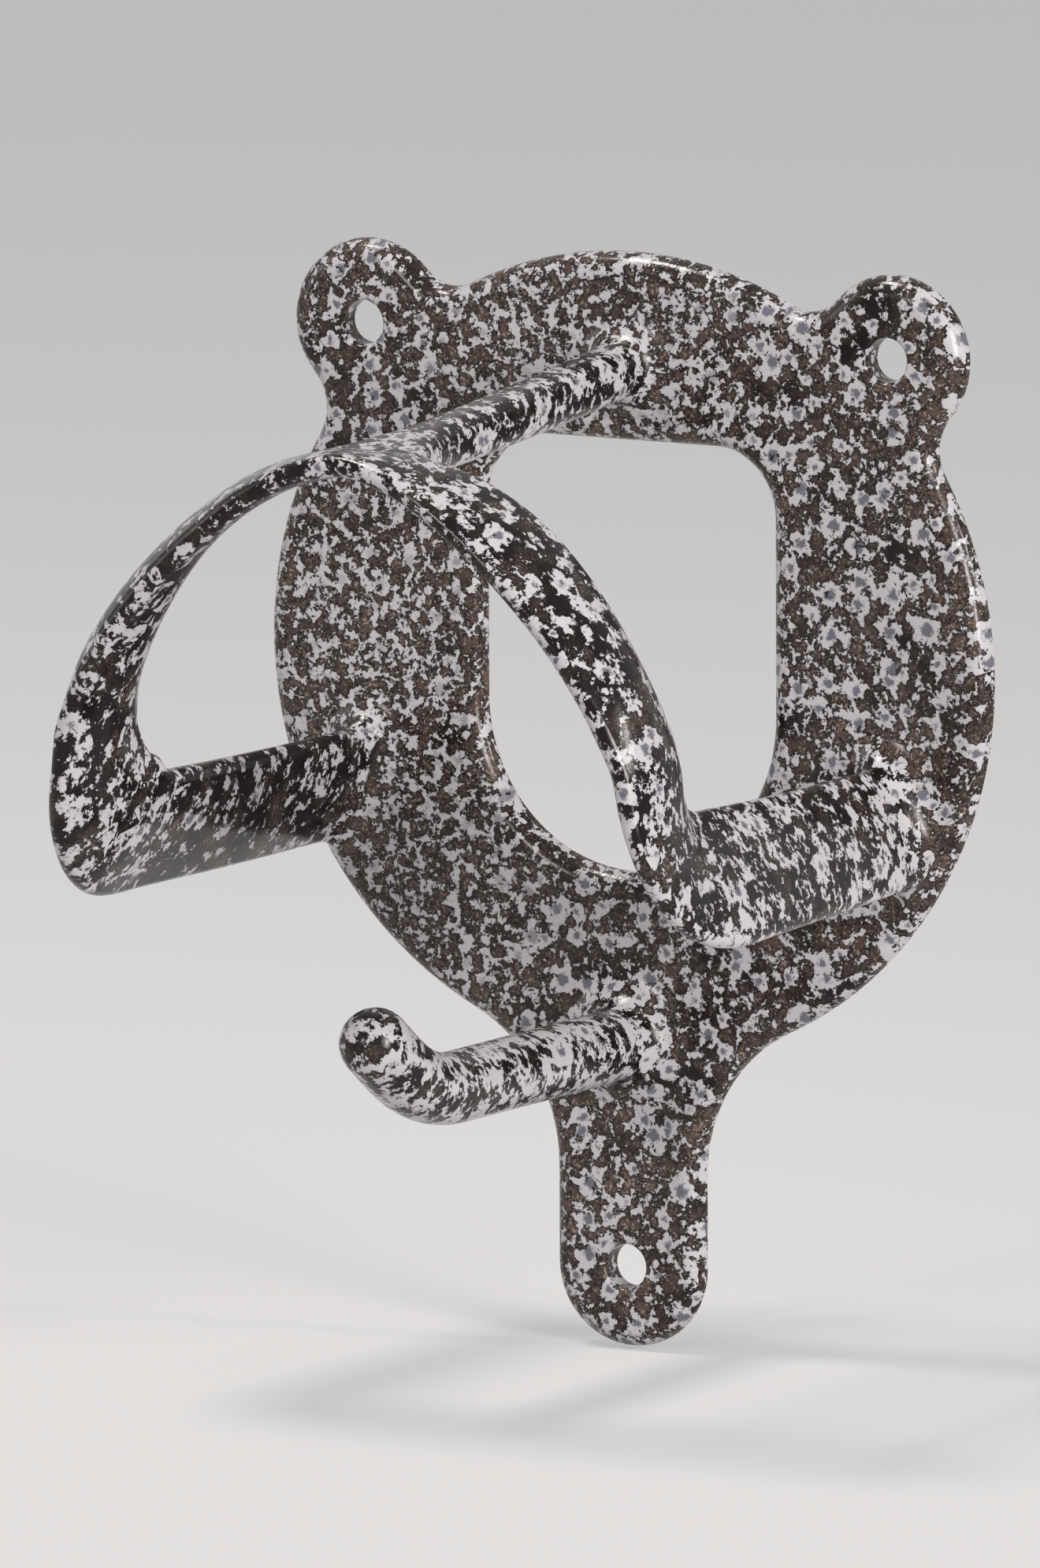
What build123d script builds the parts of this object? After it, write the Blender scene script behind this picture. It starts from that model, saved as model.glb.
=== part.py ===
"""Cast-iron bridle holder: a ring-shaped wall plate with a bow-shaped saddle in front and a hook below.

Millimetres. The wall plane is y = 0, the holder faces -Y and +Z is up. The origin is on the wall
plane, midway between the two screw holes in the ears. The whole holder is one casting.
"""
import math
import os

from build123d import *

# Wall plate
SCREW_SPACING = 100.0        # between the screw holes in the two ears
SCREW_HOLE_RADIUS = 3.75
HOLE_EDGE_ROUND = 1.0        # softened rims of the screw holes
PLATE_THICKNESS = 4.3
PLATE_EDGE_ROUND = 3.5       # rounded front edges of the casting
BACK_EDGE_ROUND = 0.6
EAR_RADIUS = 14.1
RING_RADIUS = 68.7
RING_DROP = 53.8             # ring centre below the line of the ear holes
EAR_FILLET_TOP = 7.4         # hollow between an ear and the top of the ring
EAR_FILLET_SIDE = 8.4        # hollow between an ear and the side of the ring
TAIL_HALF_WIDTH = 13.9
TAIL_DROP = 157.3            # tail screw hole below the line of the ear holes
TAIL_FILLET = 28.0

# Window in the plate
WINDOW_HALF_WIDTH = 27.8
WINDOW_TOP_DROP = 17.0       # window's top edge below the line of the ear holes
WINDOW_HEIGHT = 73.3
WINDOW_CORNER_RADIUS = 11.4
WINDOW_BOTTOM_HEIGHT = 28.2  # height of the half ellipse that closes the window below

# Bow and side struts: one band that runs from the plate forward, up over the crest and back
ROOT_INSET = 11.5            # band centre at the plate, in from the side of the ring
ROOT_DROP = 78.6
STRUT_SPLAY = 2.9            # band centre at the front end of a strut, outside its root
BOW_REACH = 91.8             # centre of the bow in front of the wall
BOW_HALF_WIDTH = 52.5        # band centre where the arch of the bow starts, from the middle
BEND_RADIUS = 19.0           # centre line of the bend from a strut up into the bow
BEND_DROP = 59.7             # centre of that bend below the line of the ear holes
BOW_HEIGHT = 50.7            # centre line of the crest above the start of the arch
BOW_LEAN = 3.8               # crest set forward of the foot of the arch
BOW_SIDE_FULLNESS = 1.84     # exponents of the arch: 2 is an ellipse, less is more pointed
BOW_TOP_FULLNESS = 1.465

# Sections of the band: width, thickness, tilt in degrees, and web. A positive tilt flares the rear
# edge of the bow outward; a negative one leans the upper edge of a strut inward. The web is extra
# width on the upper edge of a strut and the rear edge of the bow, which fills the corner between
# them; a negative one takes width off that edge.
ROOT_SECTION = (20.5, 6.8, -22.0, 0.4)
STRUT_SECTION = (21.2, 6.6, -24.0, 0.8)
FRONT_SECTION = (21.8, 6.2, -28.0, 2.4)
CORNER_SECTION = (22.0, 6.8, -19.0, 3.4)
FOOT_SECTION = (20.8, 8.0, -6.0, 1.2)
LEG_SECTION = (20.8, 8.8, 4.0, -1.2)
SHOULDER_SECTION = (18.6, 5.5, 14.5, -0.4)
CREST_SECTION = (14.8, 4.4, -4.0, 0.0)
LEG_SHARE = 0.31             # place of the leg section in the rise of the arch
SHOULDER_SHARE = 0.62
BAND_EDGE_RADIUS = 1.9       # round edges of the band
BAND_FILLET = 6.0            # hollow where the band grows out of the plate
STRUT_STEPS = 12             # sections along a strut, a bend and half the arch
BEND_STEPS = 4
ARCH_STEPS = 14

# Spine: the rib from the crest of the bow back to the plate
SPINE_WIDTH = 8.5
SPINE_FRONT_HEIGHT = 8.0
SPINE_ROOT_HEIGHT = 9.0
SPINE_ROOT_RISE = 0.2        # top of the spine at the plate, above the line of the ear holes
SPINE_CROWN = -0.4           # slight upward bow of the spine's top
SPINE_EDGE_RADIUS = 3.0
SPINE_EDGE_SHARE = 0.45      # most of the spine's height that one round edge takes
SPINE_FILLET = 5.0           # hollow where the spine grows out of the plate
SPINE_CREST_SPREAD = 11.0    # widening of the spine where it runs into the bow
SPINE_SWEEP = 30.0           # length over which the spine sweeps into the bow
SPINE_TONGUE = 0.5           # height of the spine's front end, as a share of the crest's thickness
SPINE_LAP = 0.25             # how far the spine's front end lies behind the middle of the crest's width
SPINE_STEPS = 14

# Hook: a round bar with an upturned tip
HOOK_RADIUS = 6.1
HOOK_DROP = 119.1            # bar centre at the plate, below the line of the ear holes
HOOK_RUN = 60.5              # straight run of the bar
HOOK_RISE_ANGLE = 1.0        # degrees: slope of the straight run
HOOK_BEND_RADIUS = 38.0
HOOK_TIP_ANGLE = 35.0        # degrees: slope of the tip
HOOK_TIP_LENGTH = 7.5
HOOK_FILLET = 6.5            # hollow where the bar grows out of the plate

TOLERANCE = 0.01             # for telling edges and corners apart by their place


def ring_profile():
    """Outline of the plate: the ring, its two ears and its tail, with hollows where they meet."""
    ring_centre = Vector(0, -RING_DROP)
    ring = Pos(0, -RING_DROP) * Circle(RING_RADIUS)
    outline = ring
    for side in (-1, 1):
        outline += Pos(side * SCREW_SPACING / 2, 0) * Circle(EAR_RADIUS)
    tail_length = TAIL_DROP - RING_DROP
    outline += Pos(0, -RING_DROP - tail_length / 2) * Rectangle(2 * TAIL_HALF_WIDTH, tail_length)
    outline += Pos(0, -TAIL_DROP) * Circle(TAIL_HALF_WIDTH)

    def on_ring(vertex):
        return abs((Vector(vertex) - ring_centre).length - RING_RADIUS) < TOLERANCE

    def on_ear(vertex):
        ear_centre = Vector(math.copysign(SCREW_SPACING / 2, vertex.X), 0)
        return abs((Vector(vertex) - ear_centre).length - EAR_RADIUS) < TOLERANCE

    def ear_corners():
        return sorted((v for v in outline.vertices() if on_ring(v) and on_ear(v)), key=lambda v: abs(v.X))

    def tail_corners():
        return [v for v in outline.vertices() if on_ring(v) and abs(abs(v.X) - TAIL_HALF_WIDTH) < TOLERANCE]

    outline = fillet(ear_corners()[:2], EAR_FILLET_TOP)
    outline = fillet(ear_corners(), EAR_FILLET_SIDE)
    return fillet(tail_corners(), TAIL_FILLET)


def window_profile():
    """The opening in the ring: straight sides, round top corners and a half ellipse below."""
    top = -WINDOW_TOP_DROP
    spring = top - WINDOW_HEIGHT + WINDOW_BOTTOM_HEIGHT
    half = WINDOW_HALF_WIDTH
    bottom = EllipticalCenterArc((0, spring), half, WINDOW_BOTTOM_HEIGHT, 180, arc_size=180)
    sides = Polyline((half, spring), (half, top), (-half, top), (-half, spring))
    opening = make_face([bottom, *sides.edges()])
    corners = [v for v in opening.vertices() if abs(v.Y - top) < TOLERANCE]
    return fillet(corners, WINDOW_CORNER_RADIUS)


def wall_plate():
    """The flat plate with rounded front edges and three screw holes."""
    holes = [(-SCREW_SPACING / 2, 0), (SCREW_SPACING / 2, 0), (0, -TAIL_DROP)]
    blank = extrude(Plane.XZ * (ring_profile() - window_profile()), PLATE_THICKNESS)
    front = blank.faces().sort_by(Axis.Y)[0]
    plate = fillet(front.edges(), PLATE_EDGE_ROUND)
    back = plate.faces().sort_by(Axis.Y)[-1]
    plate = fillet(back.edges(), BACK_EDGE_ROUND)
    for x, z in holes:
        plate -= extrude(Plane.XZ * Pos(x, z) * Circle(SCREW_HOLE_RADIUS), PLATE_THICKNESS)
    circles = plate.edges().filter_by(GeomType.CIRCLE)
    rims = [e for e in circles if abs(e.radius - SCREW_HOLE_RADIUS) < TOLERANCE and e.center().Y < -TOLERANCE]
    return fillet(rims, HOLE_EDGE_ROUND)


def oval_section(centre, across, outward, width, outer, inner, end_radius):
    """A four-arc oval: `width` along `across`, crowned by `outer` and `inner` along `outward`.

    The end arcs have `end_radius`, and each crown is the arc that is tangent to both ends.
    """
    reach = width / 2 - end_radius

    def crown(height):
        radius = (reach**2 + height**2 - end_radius**2) / (2 * (height - end_radius))
        stretch = radius / (radius - end_radius)
        return reach * stretch, height - radius + (radius - height) * stretch

    outer_x, outer_y = crown(outer)
    inner_x, inner_y = crown(inner)
    plane = Plane(origin=centre, x_dir=across, z_dir=across.cross(outward))
    edges = [
        ThreePointArc((-outer_x, outer_y), (0, outer), (outer_x, outer_y)),
        ThreePointArc((outer_x, outer_y), (width / 2, 0), (inner_x, -inner_y)),
        ThreePointArc((inner_x, -inner_y), (0, -inner), (-inner_x, -inner_y)),
        ThreePointArc((-inner_x, -inner_y), (-width / 2, 0), (-outer_x, outer_y)),
    ]
    return plane * make_face(edges)


def follow(table, place):
    """Values at a place along a table of (place, values...) rows, on a smooth curve through them."""
    last = len(table) - 1

    def slope(row, column):
        before, after = table[max(row - 1, 0)], table[min(row + 1, last)]
        return (after[column] - before[column]) / (after[0] - before[0])

    row = max(k for k in range(last) if table[k][0] <= place or k == 0)
    gap = table[row + 1][0] - table[row][0]
    t = (place - table[row][0]) / gap
    values = []
    for column in range(1, len(table[0])):
        start, end = table[row][column], table[row + 1][column]
        values.append(
            start * (1 + 2 * t) * (1 - t) ** 2
            + end * t * t * (3 - 2 * t)
            + gap * slope(row, column) * t * (1 - t) ** 2
            - gap * slope(row + 1, column) * t * t * (1 - t)
        )
    return values


def band_path():
    """Centre line of the left half of the band: strut, bend and rising arch."""
    ring_half_width = math.sqrt(RING_RADIUS**2 - (ROOT_DROP - RING_DROP) ** 2)
    root = Vector(ROOT_INSET - ring_half_width, -PLATE_THICKNESS / 2, -ROOT_DROP)
    front_x = root.X - STRUT_SPLAY
    bend_y = -BOW_REACH + BEND_RADIUS

    # A strut is tangent to its bend, so its slope follows from the root and the bend's circle.
    rise = -BEND_DROP - root.Z
    run = root.Y - bend_y
    slope = math.atan2(rise, run) - math.asin(BEND_RADIUS / math.hypot(run, rise))
    strut_end = Vector(
        front_x,
        bend_y - BEND_RADIUS * math.sin(slope),
        -BEND_DROP - BEND_RADIUS * math.cos(slope),
    )
    strut = [root + (strut_end - root) * (k / STRUT_STEPS) for k in range(STRUT_STEPS + 1)]

    bend = []
    for k in range(1, BEND_STEPS + 1):
        share = k / BEND_STEPS
        angle = (1 - share) * (math.pi / 2 - slope)
        bend.append(
            Vector(
                front_x + (-BOW_HALF_WIDTH - front_x) * share,
                bend_y - BEND_RADIUS * math.cos(angle),
                -BEND_DROP - BEND_RADIUS * math.sin(angle),
            )
        )

    arch = []
    for k in range(1, ARCH_STEPS + 1):
        turn = math.pi / 2 * k / ARCH_STEPS
        across = max(math.cos(turn), 0) ** (2 / BOW_SIDE_FULLNESS)
        height = math.sin(turn) ** (2 / BOW_TOP_FULLNESS)
        arch.append(
            Vector(
                -BOW_HALF_WIDTH * across if k < ARCH_STEPS else 0,
                -BOW_REACH - BOW_LEAN * height,
                -BEND_DROP + BOW_HEIGHT * height,
            )
        )
    return strut + bend + arch


def band():
    """The bow and both struts as one band that bends and twists along its way."""
    points = band_path()
    last = len(points) - 1
    places = [0.0]
    for near, far in zip(points, points[1:]):
        places.append(places[-1] + (far - near).length)
    foot = STRUT_STEPS + BEND_STEPS
    table = [
        (places[0], *ROOT_SECTION),
        (places[STRUT_STEPS // 2], *STRUT_SECTION),
        (places[STRUT_STEPS], *FRONT_SECTION),
        (places[STRUT_STEPS + BEND_STEPS // 2], *CORNER_SECTION),
        (places[foot], *FOOT_SECTION),
        (places[foot + round(LEG_SHARE * ARCH_STEPS)], *LEG_SECTION),
        (places[foot + round(SHOULDER_SHARE * ARCH_STEPS)], *SHOULDER_SECTION),
        (places[last], *CREST_SECTION),
    ]
    half = []
    for k, point in enumerate(points):
        width, thickness, tilt, web = follow(table, places[k])
        along = Vector(1, 0, 0) if k == last else (points[k + 1] - points[max(k - 1, 0)]).normalized()
        outward = Vector(-1, 0, 0) if k <= foot else along.cross(Vector(0, 1, 0))
        outward = (outward - along * outward.dot(along)).normalized()
        across = outward.cross(along)
        angle = math.radians(tilt)
        tilted_across = across * math.cos(angle) + outward * math.sin(angle)
        tilted_outward = outward * math.cos(angle) - across * math.sin(angle)
        centre = point + tilted_across * (web / 2)
        half.append((centre, tilted_across, tilted_outward, width + web, thickness / 2))

    def mirrored(vector):
        return Vector(-vector.X, vector.Y, vector.Z)

    other = [(mirrored(p), mirrored(a), mirrored(n), w, t) for p, a, n, w, t in reversed(half[:-1])]
    return loft([oval_section(p, a, n, w, t, t, BAND_EDGE_RADIUS) for p, a, n, w, t in half + other])


def spine():
    """The rib that holds the crest of the bow against the top of the plate."""
    crest_width, crest_thickness, _, _ = CREST_SECTION
    crest = Vector(0, -BOW_REACH - BOW_LEAN, -BEND_DROP + BOW_HEIGHT)
    start = crest.Y + crest_width * SPINE_LAP
    length = -PLATE_THICKNESS / 2 - start
    front_top = crest.Z + crest_thickness / 2
    front_height = crest_thickness * SPINE_TONGUE
    sections = []
    for k in range(SPINE_STEPS + 1):
        share = k / SPINE_STEPS
        top = front_top + (SPINE_ROOT_RISE - front_top) * share + SPINE_CROWN * 4 * share * (1 - share)
        height = SPINE_FRONT_HEIGHT + (SPINE_ROOT_HEIGHT - SPINE_FRONT_HEIGHT) * share
        sweep_in = max(1 - share * length / SPINE_SWEEP, 0) ** 2
        top -= (crest_thickness - front_height) / 2 * sweep_in
        height -= (height - front_height) * sweep_in
        width = SPINE_WIDTH + SPINE_CREST_SPREAD * sweep_in
        plane = Plane(origin=(0, start + length * share, top - height / 2), x_dir=(1, 0, 0), z_dir=(0, -1, 0))
        edge_radius = min(SPINE_EDGE_RADIUS, SPINE_EDGE_SHARE * height)
        sections.append(plane * RectangleRounded(width, height, edge_radius))
    return loft(sections)


def hook():
    """The round bar below the bow, with a bulging root and an upturned ball tip."""
    rise = math.radians(HOOK_RISE_ANGLE)
    side_view = Plane(origin=(0, 0, -HOOK_DROP), x_dir=(0, -1, 0), z_dir=(-1, 0, 0))
    root = Vector(PLATE_THICKNESS / 2, 0)
    forward = Vector(math.cos(rise), math.sin(rise))
    straight = Line(root, root + forward * HOOK_RUN)
    bend = JernArc(straight @ 1, forward, HOOK_BEND_RADIUS, HOOK_TIP_ANGLE - HOOK_RISE_ANGLE)
    tip = Line(bend @ 1, bend @ 1 + (bend % 1) * HOOK_TIP_LENGTH)
    path = Wire([straight, bend, tip])
    bar = sweep(Plane(root, z_dir=forward) * Circle(HOOK_RADIUS), path)
    ball = Pos(*(tip @ 1)) * Sphere(HOOK_RADIUS)
    return side_view * (bar + ball)


def grow(body, limb, hollow):
    """Joins a limb to the body, with a hollow fillet round its root on the plate."""
    joined = body + limb
    seams = new_edges(body, limb, combined=joined)
    return fillet([seam for seam in seams if seam.center().Y > -BOW_REACH / 2], hollow)


def bridle_holder():
    """The whole casting."""
    holder = grow(wall_plate(), band(), BAND_FILLET)
    holder = grow(holder, hook(), HOOK_FILLET)
    return grow(holder, spine(), SPINE_FILLET)


os.makedirs("parts", exist_ok=True)
export_step(bridle_holder(), "parts/bridle_holder.step")
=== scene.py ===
"""Cast-iron bridle holder in hammered two-tone enamel, over a plain pale floor.

Metres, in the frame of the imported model: the wall plane is y = 0, the holder faces -Y and +Z is up.
"""
import math

import bpy
from mathutils import Matrix, Vector


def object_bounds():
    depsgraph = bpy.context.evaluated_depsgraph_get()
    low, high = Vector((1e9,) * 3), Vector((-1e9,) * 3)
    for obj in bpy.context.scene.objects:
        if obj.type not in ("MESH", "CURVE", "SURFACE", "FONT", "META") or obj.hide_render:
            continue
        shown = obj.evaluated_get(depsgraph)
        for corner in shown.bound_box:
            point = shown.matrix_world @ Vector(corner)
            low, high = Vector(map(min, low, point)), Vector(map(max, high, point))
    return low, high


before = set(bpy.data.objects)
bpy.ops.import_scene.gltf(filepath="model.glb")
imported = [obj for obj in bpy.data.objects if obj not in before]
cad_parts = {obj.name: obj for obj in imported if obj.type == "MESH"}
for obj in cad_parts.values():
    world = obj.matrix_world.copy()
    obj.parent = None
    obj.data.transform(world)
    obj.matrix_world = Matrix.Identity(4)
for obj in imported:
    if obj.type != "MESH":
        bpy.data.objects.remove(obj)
cad_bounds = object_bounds()

# Camera: a long lens, level with the holder's middle and a little above it
VIEW_AZIMUTH = 28.93         # degrees, towards the holder's right
VIEW_ELEVATION = 8.80
VIEW_ROLL = -0.18
VIEW_DISTANCE = 5.0
VIEW_CENTRE = (-0.0222, 0.0, -0.0772)
PIXELS_PER_METRE = 7531.5    # of the photograph, at the view's centre
PHOTO_WIDTH = 1320
SENSOR_WIDTH = 36.0          # millimetres
CLIP_END = 100.0

# Surroundings
FLOOR_SIZE = 24.0
FLOOR_GAP = 0.0004           # floor below the tail's lowest point
FLOOR_COLOUR = (0.62, 0.62, 0.62)
FLOOR_ROUGHNESS = 0.9
FLOOR_GLOW = 0.66            # brightness that evens out the floor for the camera and in reflections
FLOOR_GLOW_SHARE = 0.55
SKY_COLOUR = (0.90, 0.90, 0.90)
SKY_LIGHT = 0.36             # strength of the sky for the holder's lighting
SKY_SEEN = 0.66              # and for the camera and in reflections
LIT_POINT = (0.0, -0.045, -0.075)
NEUTRAL = (1.0, 1.0, 1.0)
WARM = (1.0, 0.93, 0.88)
NARROW = 60.0                # degrees: spread of a soft box's light
WIDE = 180.0
LAMPS = [                    # name, place, width, height, watts, colour and spread
    ("key", (2.3, -1.2, 0.75), 1.3, 1.3, 3.9, NEUTRAL, NARROW),
    ("right_strip", (1.25, -0.66, 0.22), 0.25, 0.70, 1.85, WARM, NARROW),
    ("side_strip", (1.36, 0.17, 0.40), 0.10, 0.34, 0.58, WARM, NARROW),
    ("top", (-0.45, -0.2, 1.1), 0.26, 0.26, 12.0, WARM, WIDE),
    ("front", (-0.35, -1.55, 0.35), 0.20, 0.28, 5.0, WARM, WIDE),
    ("fill", (-1.5, -0.8, 0.4), 0.8, 0.8, 4.0, NEUTRAL, WIDE),
]

# Enamel. Its lengths are in millimetres and its colours are linear.
PALE_GREY = (0.372, 0.361, 0.382)
STAR_HEART = (0.098, 0.101, 0.126)
WARM_BROWN = (0.064, 0.043, 0.036)
DEEP_BROWN = (0.005, 0.003, 0.003)
PALE_BROWN = (0.220, 0.180, 0.160)
MILLIMETRE = 0.001
ENAMEL_IOR = 1.34
ROUGHNESS = 0.17
PALE_ROUGHNESS = 0.08        # added where the enamel is pale
RELIEF_STRENGTH = 0.3
RELIEF_DEPTH = 0.00015       # in metres
PALE_RELIEF = 0.5            # how far the pale enamel stands out, next to the lace

# Noises of the enamel: size, detail, roughness and distortion
LACE = (2.1, 5.0, 0.70, 0.25)   # ragged edges of the stars and the dark islands between them
GRAIN = (0.9, 3.0, 0.60, 0.0)
SPECK = (0.5, 1.0, 0.50, 0.0)   # pale brown specks in the islands
TONE = (9.0, 2.0, 0.55, 0.0)    # where the islands are brown or nearly black
WARP = (2.2, 2.0, 0.55, 0.0)    # bends the veins
NOISE_MIDDLE = 0.5

# Stars and veins
PLATE_STAR_SPACING = 5.8     # between the hearts of the stars on the plate
LIMB_STAR_SPACING = 5.0      # and through space, on the bow, the struts and the hook
STAR_REACH = (1.2, 3.6)      # least and greatest
LIMB_STAR_GROWTH = 0.3       # stars on the limbs reach this share further
HEART_RADIUS = 0.86
HEART_SIZE_LEAST = 0.4       # share of the radius, to which a random share is added
HEART_GRAIN = 2.5            # raggedness of the hearts
HEART_EDGE = (-0.2, 0.4)
ISLAND_SPACING = 4.2         # between the dark islands, which pale veins part
VEIN_REACH = 1.0
VEIN_WARP = 3.0

# The enamel is pale where the sum of these weighted parts, less the darkness, is above zero.
GRAIN_WEIGHT = 0.38
STAR_WEIGHT = 0.25
VEIN_WEIGHT = 0.11
DARKNESS = 0.120
SPRAY_WEIGHT = 0.030
PALE_EDGE = (-0.022, 0.032)
SPRAY_HIDES_STARS = 0.75
SPRAY_HIDES_HEARTS = 0.7

# An island is nearly black round its rim, and warm brown with pale specks inside.
RIM_EDGE = (0.03, 0.15)
TONE_LEVEL = 0.60
TONE_CONTRAST = 3.0
TONE_ON_SPRAY = 0.30
TONE_ON_LIMBS = -0.60
SPECK_EDGE = (0.06, 0.16)
SPECK_SHARE = 0.9

# Places on the holder
PLATE_FRONT = -4.3           # the front face of the plate
LIMB_BLEND = (0.5, 4.0)      # in front of it, where the two layouts of stars meet
SPRAY_PATCHES = [            # place, radius and strength, where stars give way to fine spray
    ((-6.0, 0.0, -2.0), 34.0, 1.3),
    ((-56.0, 0.0, -55.0), 38.0, 1.3),
    ((-40.0, 0.0, -98.0), 29.0, 1.3),
]
PAINTED_LIGHT_AND_SHADE_PATCHES = [             # and where the pale grey is raised or lowered as painted light and shade: painted light on the hook, painted shade on the left strut, the legs and the right strut
    ((0.0, -45.0, -119.0), 34.0, 0.035),
    ((-52.0, -48.0, -84.0), 46.0, -0.085),
    ((40.0, -92.0, -40.0), 45.0, -0.036),
    ((60.0, -40.0, -82.0), 40.0, -0.020),
    ((-40.0, -92.0, -40.0), 45.0, -0.035),
]


class Socket:
    """A node's output socket with arithmetic, so that shader maths reads as a formula."""

    def __init__(self, shader, output):
        self.shader = shader
        self.output = output

    def _math(self, operation, *values):
        return self.shader.node("ShaderNodeMath", {"operation": operation}, dict(enumerate(values)))

    def __add__(self, other):
        return self._math("ADD", self, other)

    def __sub__(self, other):
        return self._math("SUBTRACT", self, other)

    def __mul__(self, other):
        return self._math("MULTIPLY", self, other)

    def __truediv__(self, other):
        return self._math("DIVIDE", self, other)

    def __radd__(self, other):
        return self._math("ADD", other, self)

    def __rsub__(self, other):
        return self._math("SUBTRACT", other, self)

    def __rmul__(self, other):
        return self._math("MULTIPLY", other, self)

    def at_least(self, low):
        return self._math("MAXIMUM", self, low)

    def clamp(self):
        return self._math("MINIMUM", self.at_least(0.0), 1.0)

    def step(self, low, high):
        """0 below `low`, 1 above `high`, and smooth between them."""
        return self.shader.node(
            "ShaderNodeMapRange", {"interpolation_type": "SMOOTHSTEP"},
            {"Value": self, "From Min": low, "From Max": high},
        )


class Shader:
    """The node tree of a new material or world, with one method that adds any node."""

    def __init__(self, data):
        self.data = data
        self.data.use_nodes = True
        self.tree = self.data.node_tree
        self.tree.nodes.clear()

    def node(self, kind, settings=None, inputs=None, output=0):
        new = self.tree.nodes.new(kind)
        for name, value in (settings or {}).items():
            setattr(new, name, value)
        for name, value in (inputs or {}).items():
            if isinstance(value, Socket):
                self.tree.links.new(value.output, new.inputs[name])
            else:
                new.inputs[name].default_value = value
        return Socket(self, new.outputs[output]) if new.outputs else None

    def mix(self, share, first, second):
        """Colour `first` where the share is 0 and `second` where it is 1."""
        factor, colour_a, colour_b, colour_result = 0, 6, 7, 2
        colours = [value if isinstance(value, Socket) else (*value, 1.0) for value in (first, second)]
        inputs = {factor: share, colour_a: colours[0], colour_b: colours[1]}
        return self.node("ShaderNodeMix", {"data_type": "RGBA"}, inputs, colour_result)

    def parts(self, vector):
        """The three components of a vector."""
        split = self.node("ShaderNodeSeparateXYZ", {}, {0: vector}).output.node
        return [Socket(self, output) for output in split.outputs]

    def cells(self, place, dimensions, spacing):
        """Distance to the nearest of many scattered points, and a random share that goes with the point."""
        nearest = self.node(
            "ShaderNodeTexVoronoi", {"voronoi_dimensions": dimensions, "feature": "F1"},
            {"Vector": place, "Scale": 1.0 / spacing, "Randomness": 1.0},
        )
        colour = Socket(self, nearest.output.node.outputs["Color"])
        return nearest * spacing, self.parts(colour)[0]

    def patches(self, axes, table):
        """The sum of round patches that fade towards their edges."""
        total = 0.0
        for centre, radius, strength in table:
            offsets = [axis - middle for axis, middle in zip(axes, centre)]
            squares = [offset * offset for offset in offsets]
            away = (squares[0] + squares[1] + squares[2]) / radius**2
            total = (1 - away).clamp() * strength + total
        return total

    def walls(self, place, spacing, warp, warp_noise):
        """Distance to the nearest wall between scattered cells, whose walls a noise bends."""
        push = Socket(self, self.noise(place, *warp_noise).output.node.outputs["Color"])
        bent = self.node(
            "ShaderNodeVectorMath", {"operation": "MULTIPLY_ADD"}, {0: push, 1: (warp,) * 3, 2: place},
        )
        nearest = self.node(
            "ShaderNodeTexVoronoi", {"voronoi_dimensions": "3D", "feature": "DISTANCE_TO_EDGE"},
            {"Vector": bent, "Scale": 1.0 / spacing, "Randomness": 1.0},
        )
        return nearest * spacing

    def noise(self, place, size, detail, roughness, distortion):
        return self.node(
            "ShaderNodeTexNoise", {},
            {
                "Vector": place, "Scale": 1.0 / size, "Detail": detail,
                "Roughness": roughness, "Distortion": distortion,
            },
        )

    def finish(self, surface, output="ShaderNodeOutputMaterial"):
        self.node(output, {}, {"Surface": surface})
        return self.data

    def seen(self):
        """1 for what the camera sees, directly, by reflection or through glass, and 0 for lighting."""
        path = self.node("ShaderNodeLightPath").output.node
        kinds = ("Camera", "Glossy", "Transmission")
        rays = [Socket(self, path.outputs[f"Is {kind} Ray"]) for kind in kinds]
        return (rays[0] + rays[1] + rays[2]).clamp()


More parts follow.
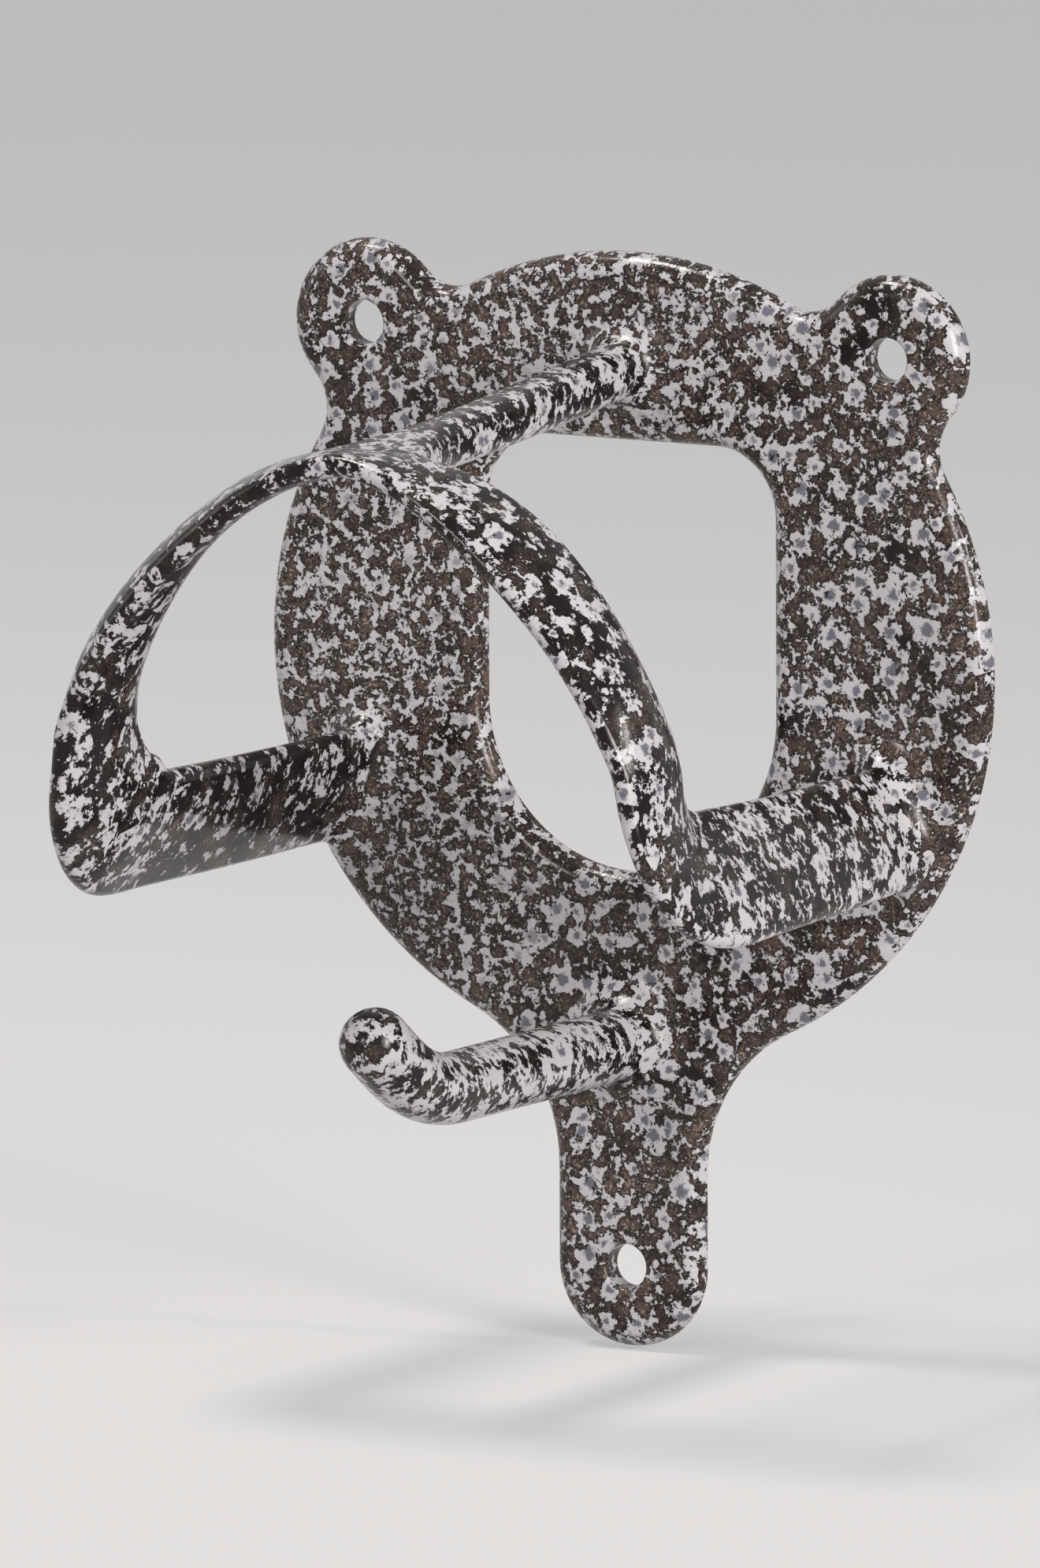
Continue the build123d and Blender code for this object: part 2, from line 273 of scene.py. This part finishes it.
def hammered_enamel():
    """Pale grey stars with bluish hearts, run together over dark brown."""
    enamel = Shader(bpy.data.materials.new("hammered_enamel"))
    position = enamel.node("ShaderNodeTexCoord", output="Object")
    scaling = {0: position, "Scale": 1 / MILLIMETRE}
    place = enamel.node("ShaderNodeVectorMath", {"operation": "SCALE"}, scaling)
    across, depth, height = enamel.parts(place)

    # The plate's face is a plane, so its stars are laid out in that plane, and the rest's in space.
    flat = enamel.node("ShaderNodeCombineXYZ", {}, {0: across, 1: height, 2: 0.0})
    limb = (PLATE_FRONT - depth).step(*LIMB_BLEND)

    spray = enamel.patches((across, depth, height), SPRAY_PATCHES).clamp() * (1 - limb)
    lace = enamel.noise(place, *LACE) - NOISE_MIDDLE
    grain = enamel.noise(place, *GRAIN) - NOISE_MIDDLE
    speck = enamel.noise(place, *SPECK) - NOISE_MIDDLE
    plate_distance, plate_chance = enamel.cells(flat, "2D", PLATE_STAR_SPACING)
    limb_distance, limb_chance = enamel.cells(place, "3D", LIMB_STAR_SPACING)
    distance = plate_distance * (1 - limb) + limb_distance * limb
    chance = plate_chance * (1 - limb) + limb_chance * limb
    wall_distance = enamel.walls(place, ISLAND_SPACING, VEIN_WARP, WARP)
    vein = (1 - wall_distance / VEIN_REACH).clamp()

    least, greatest = STAR_REACH
    reach = (least + (greatest - least) * chance) * (1 + LIMB_STAR_GROWTH * limb)
    star = (1 - distance / reach).clamp() * (1 - SPRAY_HIDES_STARS * spray)
    level = lace + grain * GRAIN_WEIGHT + star * STAR_WEIGHT + vein * VEIN_WEIGHT
    level = level - DARKNESS + SPRAY_WEIGHT * spray
    # Painted light and shade: the pale grey is raised on the hook and lowered on the struts and the legs.
    level = level + enamel.patches((across, depth, height), PAINTED_LIGHT_AND_SHADE_PATCHES)
    pale = level.step(*PALE_EDGE)

    heart_size = HEART_RADIUS * (HEART_SIZE_LEAST + chance)
    heart = (heart_size - distance + grain * HEART_GRAIN).step(*HEART_EDGE)
    heart = heart * (1 - spray * SPRAY_HIDES_HEARTS)

    tone = TONE_LEVEL + (enamel.noise(place, *TONE) - NOISE_MIDDLE) * TONE_CONTRAST
    tone = tone + TONE_ON_SPRAY * spray + TONE_ON_LIMBS * limb
    inside = (level * -1).step(*RIM_EDGE) * tone.clamp()
    brown = enamel.mix(inside, DEEP_BROWN, WARM_BROWN)
    brown = enamel.mix(inside * speck.step(*SPECK_EDGE) * SPECK_SHARE, brown, PALE_BROWN)
    grey = enamel.mix(heart, PALE_GREY, STAR_HEART)
    colour = enamel.mix(pale, brown, grey)

    relief = pale * PALE_RELIEF + lace
    bump = enamel.node(
        "ShaderNodeBump", {},
        {"Strength": RELIEF_STRENGTH, "Distance": RELIEF_DEPTH, "Height": relief},
    )
    shader = enamel.node(
        "ShaderNodeBsdfPrincipled", {},
        {
            "Base Color": colour, "Roughness": ROUGHNESS + pale * PALE_ROUGHNESS,
            "Normal": bump, "IOR": ENAMEL_IOR,
        },
    )
    return enamel.finish(shader)


def dress_holder():
    """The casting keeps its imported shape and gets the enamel."""
    enamel = hammered_enamel()
    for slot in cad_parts["bridle_holder"].material_slots:
        slot.link = "OBJECT"
        slot.material = enamel


def add_floor():
    """A plain pale floor just below the tail."""
    lowest = cad_bounds[0][2] - FLOOR_GAP
    half = FLOOR_SIZE / 2
    corners = [(-half, -half, lowest), (half, -half, lowest), (half, half, lowest), (-half, half, lowest)]
    mesh = bpy.data.meshes.new("floor")
    mesh.from_pydata(corners, [], [(0, 1, 2, 3)])
    floor = bpy.data.objects.new("floor", mesh)
    bpy.context.scene.collection.objects.link(floor)
    paint = Shader(bpy.data.materials.new("floor_paint"))
    matt = paint.node(
        "ShaderNodeBsdfPrincipled", {},
        {"Base Color": (*FLOOR_COLOUR, 1.0), "Roughness": FLOOR_ROUGHNESS},
    )
    glow = paint.node("ShaderNodeEmission", {}, {"Color": (*NEUTRAL, 1.0), "Strength": FLOOR_GLOW})
    share = paint.seen() * FLOOR_GLOW_SHARE
    both = paint.node("ShaderNodeMixShader", {}, {0: share, 1: matt, 2: glow})
    mesh.materials.append(paint.finish(both))


def add_sky():
    """Even pale surroundings, dimmer as light than as a background."""
    sky = Shader(bpy.data.worlds.new("studio"))
    light, background = [
        sky.node("ShaderNodeBackground", {}, {"Color": (*SKY_COLOUR, 1.0), "Strength": strength})
        for strength in (SKY_LIGHT, SKY_SEEN)
    ]
    both = sky.node("ShaderNodeMixShader", {}, {0: sky.seen(), 1: light, 2: background})
    bpy.context.scene.world = sky.finish(both, "ShaderNodeOutputWorld")


def add_lamp(name, place, width, height, power, colour, spread):
    """A soft box that faces the middle of the holder."""
    light = bpy.data.lights.new(name, "AREA")
    light.shape = "RECTANGLE"
    light.size = width
    light.size_y = height
    light.energy = power
    light.color = colour
    light.spread = math.radians(spread)
    lamp = bpy.data.objects.new(name, light)
    bpy.context.scene.collection.objects.link(lamp)
    lamp.location = Vector(place)
    lamp.rotation_euler = (Vector(LIT_POINT) - Vector(place)).to_track_quat("-Z", "Y").to_euler()


def add_camera():
    """The photograph's viewing angle and framing."""
    azimuth = math.radians(VIEW_AZIMUTH)
    elevation = math.radians(VIEW_ELEVATION)
    level = Vector((math.sin(azimuth), -math.cos(azimuth), 0.0))
    back = level * math.cos(elevation) + Vector((0.0, 0.0, math.sin(elevation)))
    right = Vector((math.cos(azimuth), math.sin(azimuth), 0.0))
    up = back.cross(right)
    turn = Matrix((right, up, back)).transposed() @ Matrix.Rotation(math.radians(VIEW_ROLL), 3, "Z")
    data = bpy.data.cameras.new("camera")
    data.sensor_fit = "HORIZONTAL"
    data.sensor_width = SENSOR_WIDTH
    data.lens = PIXELS_PER_METRE * VIEW_DISTANCE * SENSOR_WIDTH / PHOTO_WIDTH
    data.clip_end = CLIP_END
    camera = bpy.data.objects.new("camera", data)
    bpy.context.scene.collection.objects.link(camera)
    camera.matrix_world = Matrix.Translation(Vector(VIEW_CENTRE) + back * VIEW_DISTANCE) @ turn.to_4x4()
    bpy.context.scene.camera = camera


dress_holder()
add_floor()
add_sky()
for lamp in LAMPS:
    add_lamp(*lamp)
add_camera()
bpy.context.scene.view_settings.view_transform = "Standard"
